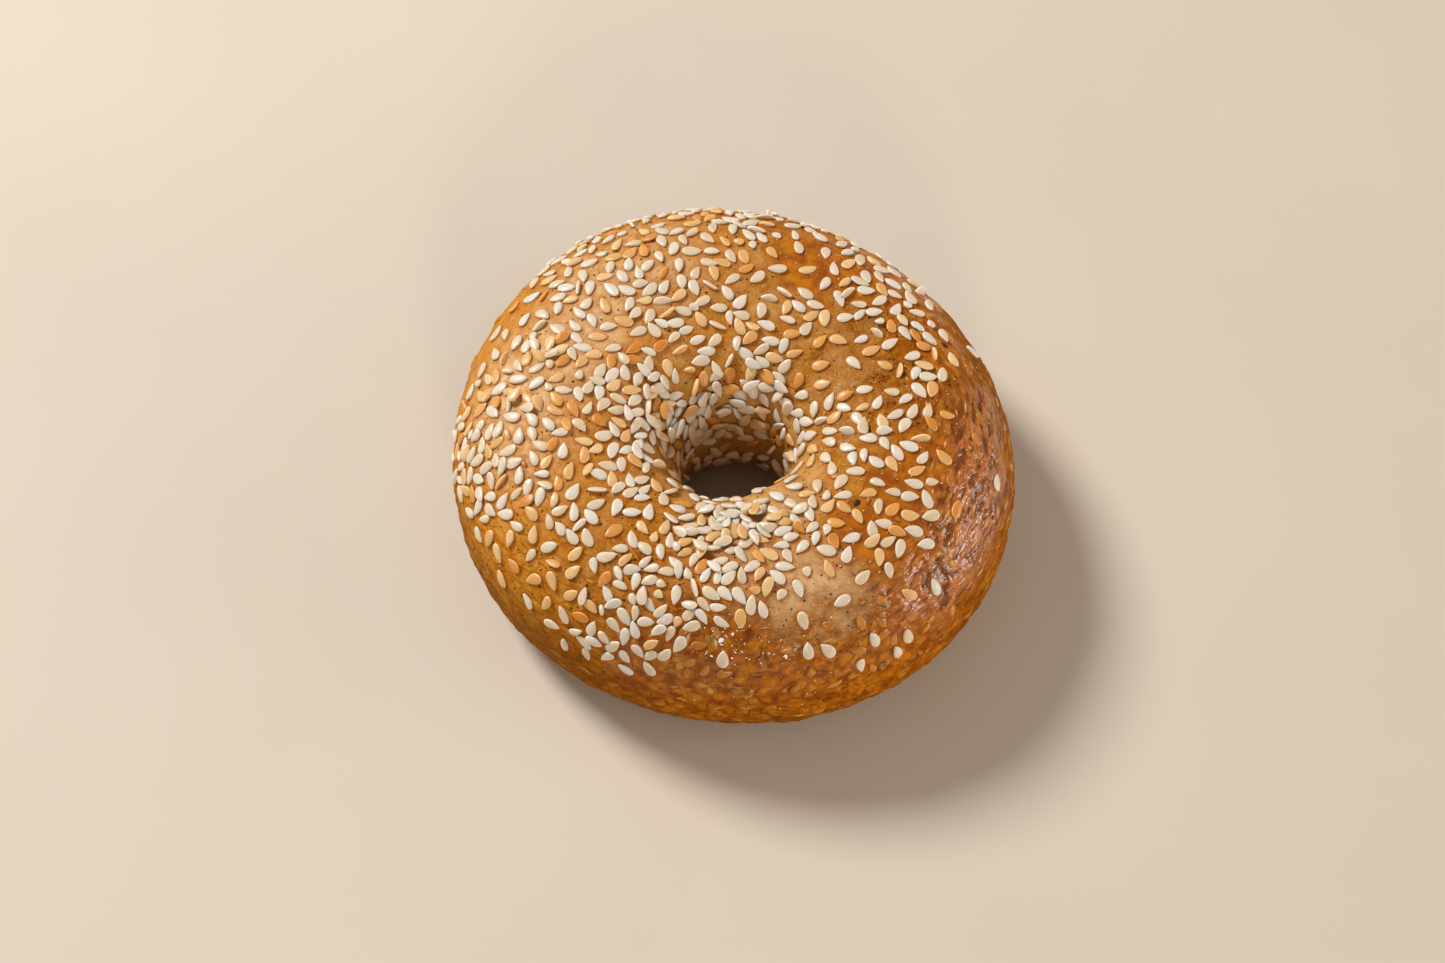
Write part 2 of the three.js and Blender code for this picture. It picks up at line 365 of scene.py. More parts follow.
class SeedBed:
    """The seeds laid so far, each resting on the crust and on those before it."""

    def __init__(self):
        self.seeds = []
        self.middles = np.zeros((0, 3))

    def near(self, point):
        near = distance(self.middles, point) < NEIGHBOUR_REACH
        return [self.seeds[i] for i in np.flatnonzero(near)]

    def covered(self, seed):
        """How much of a seed, laid flat, would lie over others."""
        places, _, _ = under_points(seed)
        over = np.zeros(len(places), bool)
        for other in self.near(seed["point"]):
            over |= height_over(other, places)[0] > 0
        return over.mean()

    def rest(self, seed):
        """Sets a seed down on what is under it."""
        ground, xs, ys = under_points(seed)
        height = seed_height(xs / (seed["length"] / 2), ys / (seed["width"] / 2), seed["pointed"])
        under = -seed["thickness"] / 2 * height
        normal = seed["ground"]
        support = np.full(len(xs), -SEED_SINK)
        for other in self.near(seed["point"]):
            top, local = height_over(other, ground)
            surface = other["middle"] + np.stack([local[:, 0], local[:, 1], top], axis=1) @ other["axes"]
            above = (surface - seed["point"]) @ normal
            support = np.where(top > 0, np.maximum(support, above), support)
        lift = support - under
        heights = np.max(lift - TILT_X[:, None] * xs - TILT_Y[:, None] * ys, axis=1)
        best = int(np.argmin(heights + TILT_COST * (TILT_X**2 + TILT_Y**2)))
        seed["middle"] = seed["point"] + normal * heights[best]
        seed["axes"] = turned(seed["axes"], math.atan(TILT_X[best]), math.atan(TILT_Y[best]))
        seed["stacked"] = bool(np.max(support) > 0.1)

    def stand(self, seed, lean, sink):
        """Sets a seed on its side, part of it in the crust."""
        seed["foot"] = (seed["axes"][:2], seed["length"], seed["thickness"])
        seed["axes"] = turned(seed["axes"], 0, lean)
        seed["middle"] = seed["point"] + seed["ground"] * (seed["width"] / 2 * abs(math.sin(lean)) - sink)

    def add(self, seed):
        self.seeds.append(seed)
        self.middles = np.vstack([self.middles, seed["middle"]])


def frame_seeds():
    """The seeds of the frame, by the same rule and the same draws."""
    draws = random_numbers(RANDOM_SEED)
    laid = [(turn, roll, heading, next(draws), next(draws)) for turn, roll, heading in STRAY_SEEDS]
    tries = np.array([[next(draws) for _ in range(6)] for _ in range(FRAME_TRIES)])
    turns = 360 * tries[:, 0]
    rolls = between(SEED_ROLLS, tries[:, 1])
    points = crust(turns, rolls)
    room = np.hypot(points[:, 0], points[:, 1]) / OUTER_RADIUS
    wanted = tries[:, 5] < seed_density(turns, rolls, points) * room
    kept = [crust(np.array(float(t)), np.array(float(r))) for t, r, _ in STRAY_SEEDS]
    for i in np.flatnonzero(wanted):
        if len(laid) == FRAME_SEEDS:
            break
        if np.min(distance(np.array(kept), points[i])) <= SEED_SPACING:
            continue
        kept.append(points[i])
        laid.append((turns[i], rolls[i], 360 * tries[i, 2], tries[i, 3], tries[i, 4]))
    turns, rolls, headings, long, slim = np.array(laid).T
    lengths = between(SEED_LENGTH, long)
    widths = lengths * between(SEED_SLIMNESS, slim)
    chance = random.Random(11)
    pointed = [chance.uniform(*SEED_POINTEDNESS) for _ in laid]
    thick = [SEED_THICKNESS] * len(laid)
    each = zip(*spots(turns, rolls), headings, lengths, widths, thick, pointed)
    return [new_seed(*values) for values in each]


def chance_places(chance, count, rolls):
    """Turns and rolls of places anywhere between two rolls."""
    turns = [chance.uniform(0, 360) for _ in range(count)]
    return turns, [chance.uniform(*rolls) for _ in range(count)]


def all_seeds():
    """The seeds of the frame and then the rest, where chance finds room for them."""
    chance = random.Random(5)
    bed = SeedBed()
    for seed in frame_seeds():
        bed.rest(seed)
        bed.add(seed)
    upper = chance_places(chance, FILL_TRIES, SEED_ROLLS)
    deep = chance_places(random.Random(6), DEEP_TRIES, DEEP_ROLLS)
    turns, rolls = np.concatenate([upper, deep], axis=1)
    points, axes = spots(turns, rolls)
    room = np.hypot(points[:, 0], points[:, 1]) / OUTER_RADIUS
    cover = seed_cover(turns, rolls, points)
    spacing = FILL_SPACING / np.sqrt(np.maximum(cover, 0.01))
    stacking = STACKED_SHARE + sum(bells(PILES, points))
    for i in range(len(turns)):
        if chance.random() > room[i] or cover[i] < LEAST_COVER:
            continue
        short = chance.random() < SHORT_SHARE
        upright = chance.random() < UPRIGHT_SHARE
        length = chance.uniform(*(SHORT_LENGTH if short else FILL_LENGTH))
        width = SHORT_WIDTH if short else length * chance.uniform(*FILL_SLIMNESS)
        thickness = SEED_THICKNESS * chance.uniform(*FILL_THICKNESS)
        size = (length, width, thickness, chance.uniform(*SEED_POINTEDNESS))
        most = MOST_COVERED if chance.random() < stacking[i] else LEAST_COVERED
        headings = [chance.uniform(0, 360) for _ in range(HEADINGS_TRIED)]
        gap = np.min(distance(bed.middles, points[i]))
        if gap < spacing[i] * chance.uniform(*FILL_GAPS):
            continue
        choices = [new_seed(points[i], axes[i], heading, *size) for heading in headings]
        covered, _, seed = min((bed.covered(choice), k, choice) for k, choice in enumerate(choices))
        if covered > most:
            continue
        bed.rest(seed)
        if upright and not seed["stacked"]:
            lean = math.radians(chance.choice((-1, 1)) * chance.uniform(*UPRIGHT_LEAN))
            bed.stand(seed, lean, UPRIGHT_SINK * width)
        bed.add(seed)
    return bed.seeds


def shell_faces(around, rings):
    """Faces of a closed shell that is made of one point, rings of points and one more point."""
    faces = []
    starts = [1 + k * around for k in range(rings)]
    for i in range(around):
        j = (i + 1) % around
        faces.append((0, 1 + i, 1 + j))
        faces += [(a + i, b + i, b + j, a + j) for a, b in zip(starts, starts[1:])]
        faces.append((starts[-1] + i, 1 + rings * around, starts[-1] + j))
    return faces


def seed_mesh_data(seed, dip):
    """Points, and at each point the share of the way to the rim and to the tip, for one seed."""
    t = np.linspace(0, 2 * np.pi, SEED_AROUND, endpoint=False)
    x = np.cos(t)
    y = np.sign(np.sin(t)) * seed_width(x, seed["pointed"])
    points = [(0, 0, 1 - dip)]
    edge = [0.0]
    for share, side in SEED_RINGS:
        z = side * max(0, 1 - share**SEED_FULLNESS) ** (1 / SEED_FULLNESS)
        z -= dip * (1 - share**4) if side > 0 else 0
        points += [(share * a, share * b, z) for a, b in zip(x, y)]
        edge += [share] * SEED_AROUND
    points = np.array(points + [(0, 0, -1)])
    tip = points[:, 0].copy()
    local = points * np.array([seed["length"], seed["width"], seed["thickness"]]) / 2
    local[:, 1] += seed["bend"] * (tip**2 - 0.4)
    local[:, 2] += seed["arch"] * (tip**2 - 0.4)
    return local @ seed["axes"] + seed["middle"], edge + [0.0], tip


def mesh_object(name, points, faces, attributes, material, smooth=True):
    """A mesh from points in millimetres, with named values at its points."""
    mesh = bpy.data.meshes.new(name)
    mesh.from_pydata((np.asarray(points) * MM).tolist(), [], faces)
    for key, values in attributes.items():
        values = np.asarray(values, np.float32)
        kind, field = ("FLOAT", "value") if values.ndim == 1 else ("FLOAT_VECTOR", "vector")
        layer = mesh.attributes.new(key, kind, "POINT")
        layer.data.foreach_set(field, values.ravel())
    mesh.polygons.foreach_set("use_smooth", [smooth] * len(mesh.polygons))
    mesh.materials.append(material)
    mesh.validate()
    mesh.update()
    piece = bpy.data.objects.new(name, mesh)
    bpy.context.scene.collection.objects.link(piece)
    return piece


class Parts:
    """Many small parts that make one mesh, with named values at their points."""

    def __init__(self):
        self.points = []
        self.faces = []
        self.values = {}
        self.count = 0

    def add(self, points, faces, **values):
        self.points.append(points)
        self.faces += [tuple(self.count + i for i in face) for face in faces]
        for key, value in values.items():
            self.values.setdefault(key, []).append(np.broadcast_to(value, len(points)))
        self.count += len(points)

    def mesh(self, name, material):
        values = {key: np.concatenate(parts) for key, parts in self.values.items()}
        return mesh_object(name, np.concatenate(self.points), self.faces, values, material)


def seeds_piece(name, seeds, hollow, material):
    """All seeds of one kind, as one mesh."""
    parts = Parts()
    chance = random.Random(name)
    shell = shell_faces(SEED_AROUND, len(SEED_RINGS))
    for seed in seeds:
        seed["bend"] = chance.uniform(*BEND)
        seed["arch"] = chance.uniform(*ARCH)
        dip = FACE_DIP + hollow * chance.random() ** 2
        points, edge, tip = seed_mesh_data(seed, dip)
        parts.add(points, shell, rim=edge, tip=tip, tone=chance.random())
    return parts.mesh(name, material)


# The dough's relief.

GRAIN_RADIUS = 16.25  # less than the ring's own, so that the grain is drawn out along it
GRAIN_DEPTH = 20  # for each radian of the roll
SWELLS = [(0.3, 7, 0), (0.13, 2.8, 50)]  # unevenness of the dough: rise, size, shift of the pattern
FINE_SWELLS = (0.08, 0.9)  # rise and size
RELIEF_ABOVE = 2  # the height from which the relief is whole: it fades out towards the base
FOLD_DEPTH = 0.6
FOLD_MIDDLE = 0.6
SCALES_ON_SKIN = 0.3
BANK = (0.13, 0.4)  # how the crust rises to a seed: rise, and reach as a share of the seed
# The brown edge round a seed is pooled glaze with painted contact shade.
GLAZE_SHADE_HALO_REACH = 0.6  # the brown edge round a seed, likewise


def noise_at(points, size, octaves=1):
    """Smooth noise from -1 to 1 at points, with swells of the given size in millimetres."""
    places = (np.atleast_2d(points) / size).tolist()
    if octaves == 1:
        values = [noise.noise(p) for p in places]
    else:
        values = [noise.fractal(p, 0.8, 2.0, octaves) for p in places]
    return np.array(values)


def grain_points(turn, roll):
    """Places for a pattern that is stretched along the turn, in millimetres."""
    down = np.radians(np.mod(roll + 90, 360)) * GRAIN_DEPTH
    return np.stack([GRAIN_RADIUS * cos(turn), GRAIN_RADIUS * sin(turn), down], axis=-1)


def relief(turn, roll):
    """Unevenness of the baked dough that seeds follow, along the normal."""
    points = smooth_ring(turn, roll).reshape(-1, 3)
    height = sum(rise * noise_at(points + shift, size) for rise, size, shift in SWELLS)
    return height.reshape(np.shape(turn)) if np.ndim(turn) else float(height[0])


# Where the crust differs: turn, roll, reach, amount.
AMBER = [
    (68, 76, 11, 0.7), (56, 62, 10, 0.6), (266, 36, 11, 0.9), (286, 28, 12, 1.0), (304, 26, 9, 0.7),
    (318, 76, 8, 0.9), (330, 86, 8, 0.7), (345, 76, 8, 0.8), (38, 50, 12, 0.6), (18, 66, 8, 0.7),
    (250, 24, 9, 0.6), (312, 88, 5, 0.7),
]
SKIN = [
    (352, 50, 7, 0.9), (340, 46, 8, 1.0), (328, 44, 8, 1.0), (316, 46, 7, 0.9), (306, 50, 4, 0.6),
    (4, 48, 7, 0.7), (334, 60, 5, 0.7), (318, 30, 5, 0.6), (346, 36, 6, 0.5),
]
# The patches near turns 238 and 243, at rolls 76 and 98, are painted shade on the front-left slope.
BROWN_AND_SHADE = [
    (0, 34, 24, 0.9), (335, 22, 24, 1.0), (305, 4, 19, 1.0), (272, 0, 18, 1.0), (25, 46, 20, 1.0),
    (242, 2, 16, 0.5), (50, 30, 20, 0.5), (75, 14, 20, 0.4), (110, 4, 20, 0.4), (150, -2, 20, 0.4),
    (238, 76, 10, 0.45), (243, 98, 10, 0.4), (268, 80, 9, 0.3),
]
SCALY = [
    (200, 6, 20, 0.9), (222, 8, 20, 1.0), (244, 6, 18, 1.0), (266, 4, 18, 1.0), (288, 2, 18, 1.0),
    (310, 6, 18, 1.0), (332, 12, 20, 1.0), (354, 20, 20, 1.0), (15, 28, 18, 1.0), (36, 26, 18, 0.8),
    (180, 6, 16, 0.6), (60, 12, 20, 0.5), (90, 6, 20, 0.5), (120, 4, 20, 0.5), (150, 4, 20, 0.5),
]
PALE = [
    (293, 66, 9, 0.9), (278, 72, 9, 0.6), (264, 70, 7, 0.4), (291, 55, 6, 0.7), (300, 58, 6, 0.6),
    (172, 62, 13, 1.0), (128, 72, 12, 0.9), (150, 84, 11, 0.9), (192, 66, 10, 0.7), (108, 66, 10, 0.6),
    (290, 112, 10, 0.8),
]
# The patches near turns 240 and 242, at rolls 72 and 98, are painted shade on the front-left slope.
GOLDEN_AND_SHADE = [
    (215, 62, 7, 0.6), (228, 60, 6, 0.5), (190, 74, 5, 0.5), (205, 96, 6, 0.6), (238, 104, 5, 0.6),
    (98, 66, 8, 0.6), (122, 60, 8, 0.6), (90, 112, 5, 0.5), (110, 128, 6, 0.5), (322, 98, 7, 0.8),
    (300, 96, 5, 0.5), (342, 108, 6, 0.6), (0, 92, 6, 0.6), (30, 84, 6, 0.5), (150, 44, 10, 0.8),
    (172, 36, 8, 0.6), (205, 40, 9, 0.6), (132, 100, 4, 0.6), (262, 78, 5, 0.4), (240, 72, 9, 0.5),
    (242, 98, 9, 0.5),
]

LUMPY = [
    (262, 28, 14, 1.0), (282, 28, 16, 1.0), (300, 26, 13, 0.9), (312, 18, 11, 0.7), (250, 18, 11, 0.7),
]
CRUST_PATCHES = {
    "amber": AMBER, "skin": SKIN, "brown": BROWN_AND_SHADE, "scaly": SCALY, "pale": PALE, "golden": GOLDEN_AND_SHADE,
    "lumpy": LUMPY,
}

# Seeds under the glaze: turns, rolls, number.
GLAZED = [
    ((254, 314), (12, 52), 40), ((318, 365), (16, 66), 12), ((118, 168), (18, 44), 9),
    ((18, 52), (30, 62), 6), ((215, 250), (20, 60), 8),
]

# Domes in the crust's surface: rolls, tries, share kept, length, width, rise, how far they slant, and
# the least gap between their middles.
SCALES = {
    "rolls": (-30, 62), "tries": 12000, "share": 0.3, "length": (1.8, 4.2), "width": (0.9, 1.6),
    "rise": (0.08, 0.2), "slant": 16, "spacing": 1.5, "draw": 31,
}
LUMPS_OF_GLAZE = {
    "rolls": (-12, 62), "tries": 12000, "share": 1.0, "length": (2.2, 4.2), "width": (1.7, 3.0),
    "rise": (0.15, 0.42), "slant": 90, "spacing": 2.0, "draw": 32,
}


def spread(patches, points):
    """How much of a set of patches reaches each point, from 0 to 1, with uneven edges."""
    uneven = 1 + 0.35 * noise_at(points, 4.5, 2)
    return np.clip(sum(bells(patches, points, uneven)), 0, 1)


def band_rolls(first, last, rows):
    """Rolls at equal steps along the section."""
    fine = np.linspace(first, last, 500)
    steps = np.linalg.norm(np.diff(smooth_ring(90.0, fine), axis=0), axis=1)
    reached = np.concatenate([[0], np.cumsum(steps)])
    return np.interp(np.linspace(0, reached[-1], rows, endpoint=False), reached, fine)


def row_turns(count):
    """Turns of the points of a row, which lie closer together at the front."""
    front, gain = FRONT
    turn = np.linspace(0, 360, 721)
    lean = np.sin(np.radians(turn - front)) + math.sin(math.radians(front))
    return np.interp(np.arange(count) / count, turn / 360 + gain * lean / (2 * math.pi), turn)


def dough_grid():
    """Turn and roll of every point of the dough, and its faces."""
    turns, rolls, rows = [], [], []
    for first, last, count, around in BANDS:
        for roll in band_rolls(first, last, count):
            rows.append((sum(len(t) for t in turns), around))
            turns.append(row_turns(around))
            rolls.append(np.full(around, roll))
    faces = []
    for (low, low_count), (high, high_count) in zip(rows, rows[1:] + rows[:1]):
        i = j = 0
        while i < low_count or j < high_count:
            a, b = low + i % low_count, low + (i + 1) % low_count
            c, d = high + (j + 1) % high_count, high + j % high_count
            if low_count == high_count:
                faces.append((a, b, c, d))
                i, j = i + 1, j + 1
            elif (i + 1) * high_count <= (j + 1) * low_count:
                faces.append((a, b, d))
                i += 1
            else:
                faces.append((a, c, d))
                j += 1
    return np.concatenate(turns), np.concatenate(rolls), faces


def ellipse_gap(points, centre, axes, length, width):
    """Distance of points from the middle of an ellipse, as a share of the way to its edge."""
    local = (points - centre) @ np.asarray(axes).T
    return np.hypot(local[:, 0] / (length / 2), local[:, 1] / (width / 2))


def within(tree, place, reach):
    """The numbers of the points of a tree that lie near a place."""
    return np.array([k for _, k, _ in tree.find_range(place, reach)], int)


def domes(kind, patches, points, tree):
    """Height and cover of many small domes, which lie where the patches are."""
    chance = random.Random(kind["draw"])
    count = kind["tries"]
    turns, rolls = np.array(chance_places(chance, count, kind["rolls"]))
    centres = crust(turns, rolls)
    chosen = np.array([chance.random() for _ in range(count)]) < kind["share"] * spread(patches, centres)
    along, across, _ = along_ring(turns, rolls)
    height = np.zeros(len(points))
    cover = np.zeros(len(points))
    kept = np.zeros((0, 3))
    for i in np.flatnonzero(chosen):
        if len(kept) and np.min(distance(kept, centres[i])) < kind["spacing"]:
            continue
        kept = np.vstack([kept, centres[i]])
        length, width, rise = (chance.uniform(*kind[key]) for key in ("length", "width", "rise"))
        tone = chance.uniform(0.2, 1)
        slant = math.radians(chance.uniform(-kind["slant"], kind["slant"]))
        axes = spun(along[i], across[i], slant)
        near = within(tree, centres[i], length / 2 + 0.2)
        if len(near) == 0:
            continue
        gap = ellipse_gap(points[near], centres[i], axes, length, width)
        dome = np.clip(1 - gap**2, 0, 1)
        raised = rise * dome**0.9
        top = raised > height[near]
        height[near] = np.where(top, raised, height[near])
        cover[near] = np.where(top, tone * np.minimum(1, 2 * dome), cover[near])
    return height, cover


def seed_marks(points, tree, seeds):
    """How the crust meets the seeds: it rises to them or right over them, and is smooth below."""
    height = np.zeros(len(points))
    glaze_shade_halo = np.zeros(len(points))
    smoothed = np.zeros(len(points))
    for seed in seeds:
        near = within(tree, seed["point"], seed["length"] / 2 + 1.6)
        if seed["stacked"] or len(near) == 0:
            continue
        gap = ellipse_gap(points[near], seed["point"], *seed["foot"])
        smoothed[near] = np.maximum(smoothed[near], np.clip(2.4 - 1.4 * gap, 0, 1))
        if "cover" in seed:
            height[near] = np.maximum(height[near], seed["cover"] * bell(gap / 1.3))
            continue
        outside = np.maximum(gap - 0.9, 0)
        # Round each seed the crust is browned: pooled glaze with painted contact shade.
        glaze_shade_halo[near] = np.maximum(glaze_shade_halo[near], bell(outside / GLAZE_SHADE_HALO_REACH))
        height[near] = np.maximum(height[near], BANK[0] * bell(outside / BANK[1]))
    return height, glaze_shade_halo, smoothed


def dough_piece(seeds, material):
    turns, rolls, faces = dough_grid()
    base = crust(turns, rolls)
    normal = normal_of(crust, turns, rolls)
    tree = kdtree.KDTree(len(base))
    for i, point in enumerate(base):
        tree.insert(point, i)
    tree.balance()
    shares = {name: spread(patches, base) for name, patches in CRUST_PATCHES.items()}
    skin = shares["skin"]
    scale_height, scale_cover = domes(SCALES, SCALY, base, tree)
    lump_height, _ = domes(LUMPS_OF_GLAZE, LUMPY, base, tree)
    mark_height, glaze_shade_halo, smoothed = seed_marks(base, tree, seeds)
    grain = grain_points(turns, rolls)
    swept = grain + 1.2 * np.stack([noise_at(grain + away, 3) for away in (9, 19, 29)], axis=1)
    folds = 1 - np.abs(noise_at(swept, 1.9)) - 0.5 * np.abs(noise_at(swept + 7, 0.9))
    domed = np.maximum(scale_height * (1 - (1 - SCALES_ON_SKIN) * skin), lump_height)
    detail = FINE_SWELLS[0] * noise_at(base, FINE_SWELLS[1]) + domed
    detail = detail + FOLD_DEPTH * skin * (folds - FOLD_MIDDLE)
    height = relief(turns, rolls) + detail * (1 - smoothed) + mark_height
    height = height * np.clip(base[:, 2] / RELIEF_ABOVE, 0, 1)
    points = base + normal * height[:, None]
    points[:, 2] = np.maximum(points[:, 2], 0)
    attributes = {
        **shares, "scale": scale_cover, "glaze_shade_halo": glaze_shade_halo, "folds": folds,
        "raised": np.clip(lump_height / 0.5, 0, 1), "grain": grain * MM,
        "roll": np.radians(np.mod(rolls + 90, 360)),
    }
    return mesh_object("dough", points, faces, attributes, material)


def glazed_seeds():
    """Seeds that lie under the glaze, low on the front and on the sides."""
    chance = random.Random(77)
    turns, rolls = [], []
    for turn_range, roll_range, count in GLAZED:
        turns += [chance.uniform(*turn_range) % 360 for _ in range(count)]
        rolls += [chance.uniform(*roll_range) for _ in range(count)]
    seeds = []
    for point, axes in zip(*spots(np.array(turns), np.array(rolls))):
        length = chance.uniform(2.4, 3.3)
        seed = new_seed(point, axes, chance.uniform(0, 360), length, 0.58 * length, 0.9, 0.6)
        seed["middle"] = point + axes[2] * chance.uniform(-0.15, 0.08)
        seed["cover"] = chance.uniform(0.2, 0.34)
        seeds.append(seed)
    return seeds


# Small things on the crust.

BLOB_AROUND = 9
BLOB_RINGS = 3

# Flakes of torn skin and burnt specks. "placed" ones: turn, roll, heading, length, width. The others
# lie where chance puts them, with a width that is a share of the length. Depths: thickness, sink.
FLAKES = {
    "placed": [
        (126, 98, 60, 3.6, 2.6), (328, 111, 100, 2.4, 1.8), (324, 92, 20, 2.8, 1.1),
        (196, 70, 10, 2.2, 1.2),
    ],
    "placed_depth": (0.5, -0.1), "draw": 41, "others": 26, "rolls": (50, 140), "length": (0.8, 1.9),
    "width": (0.4, 0.8), "depth": (0.4, -0.05),
}
BURNT_SPECKS = {
    "placed": [
        (320, 94, 10, 1.5, 1.0), (40, 38, 130, 2.2, 0.9), (28, 72, 90, 1.0, 0.8), (21, 60, 20, 1.3, 0.9),
    ],
    "placed_depth": (0.6, -0.1), "draw": 42, "others": 46, "rolls": (20, 150), "length": (0.25, 0.6),
    "width": (0.5, 0.9), "depth": (0.25, 0),
}
BUBBLE_TRIES = 9000
BUBBLE_ROLLS = (-5, 100)
BUBBLE_SHARE = 0.14
BUBBLE_SIZE = (0.2, 0.36)


def blob_points(middle, axes, size):
    """The points of an uneven lump."""
    points = [(0, 0, 1)]
    for k in range(1, BLOB_RINGS + 1):
        angle = math.pi * k / (BLOB_RINGS + 1)
        for i in range(BLOB_AROUND):
            t = 2 * math.pi * i / BLOB_AROUND
            points.append((math.sin(angle) * math.cos(t), math.sin(angle) * math.sin(t), math.cos(angle)))
    points = np.array(points + [(0, 0, -1)])
    uneven = 1 + 0.6 * noise_at(points * 1.3 + middle, 1.0)
    return (points * uneven[:, None] * np.array(size) / 2) @ axes + middle


def blobs_piece(name, blobs, material):
    """One mesh of lumps that each state turn, roll, heading, length, width, thickness and sink."""
    parts = Parts()
    chance = random.Random(name)
    turns, rolls = np.array([blob[:2] for blob in blobs], float).T
    shell = shell_faces(BLOB_AROUND, BLOB_RINGS)
    for blob, point, (along, across, normal) in zip(blobs, *spots(turns, rolls)):
        heading, *size, sink = blob[2:]
        axes = np.stack([*spun(along, across, math.radians(heading)), normal])
        parts.add(blob_points(point - normal * sink, axes, size), shell, tone=chance.random())
    return parts.mesh(name, material)


def scattered(kind):
    chance = random.Random(kind["draw"])
    blobs = [(*placed, *kind["placed_depth"]) for placed in kind["placed"]]
    for _ in range(kind["others"]):
        turn, roll = chance.uniform(0, 360), chance.uniform(*kind["rolls"])
        length, heading = chance.uniform(*kind["length"]), chance.uniform(0, 180)
        width = length * chance.uniform(*kind["width"])
        blobs.append((turn, roll, heading, length, width, *kind["depth"]))
    return blobs


def bubbles():
    """Tiny bubbles of the glaze, where it is thick."""
    chance = random.Random(43)
    turns, rolls = np.array(chance_places(chance, BUBBLE_TRIES, BUBBLE_ROLLS))
    likely = BUBBLE_SHARE * spread(AMBER + SKIN, crust(turns, rolls))
    blobs = []
    for turn, roll, odds in zip(turns, rolls, likely):
        if chance.random() < odds:
            size = chance.uniform(*BUBBLE_SIZE)
            blobs.append((turn, roll, 0, size, size, 0.8 * size, -0.12))
    return blobs


# Materials.

